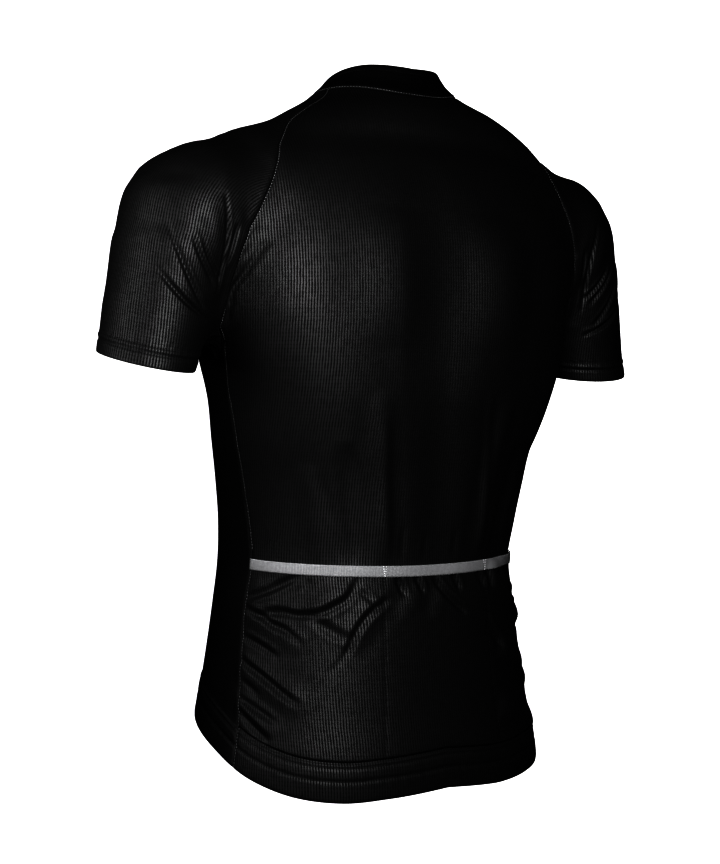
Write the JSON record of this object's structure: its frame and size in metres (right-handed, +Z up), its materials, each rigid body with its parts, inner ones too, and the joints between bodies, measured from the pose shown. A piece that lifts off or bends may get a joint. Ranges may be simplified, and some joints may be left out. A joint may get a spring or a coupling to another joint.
{
  "type": "short-sleeved cycling jersey, worn form",
  "caption": "Black short-sleeved cycling jersey in its hollow worn form, with raglan sleeves, stand collar, full front zip and rear pockets under a grey elastic band.",
  "frame": {"origin": "middle of the neck's base, level with the shoulders that hold the jersey up", "axes": "+Z up along the wearer's neck, -Y the way the wearer faces, +X the wearer's left"},
  "size_m": [0.6396, 0.2944, 0.7185],
  "materials": {
    "knit": "black mesh knit with a low sheen",
    "smooth_knit": "black fine stretch knit, smoother than the back",
    "elastic": "grey woven elastic, matt",
    "zip_nylon": "black nylon tape and teeth",
    "zip_metal": "dark painted metal, satin"
  },
  "bodies": {
    "jersey": {"back_panel": "knit", "pocket_panel": "knit", "pocket_band": "elastic", "front_left": "smooth_knit", "front_right": "smooth_knit", "sleeve_left": "knit", "sleeve_right": "knit", "collar": "knit", "zip_tape": "zip_nylon", "zip_slider": "zip_metal"},
    "pull_tab": {"zip_pull": "zip_metal"}
  },
  "joints": [
    {"name": "pull_tab_hinge", "type": "hinge", "parent": "jersey", "child": "pull_tab", "pos_m": [0, -0.03936, -0.01593], "axis": [-1, 0, 0], "range_deg": [0, 140]}
  ]
}
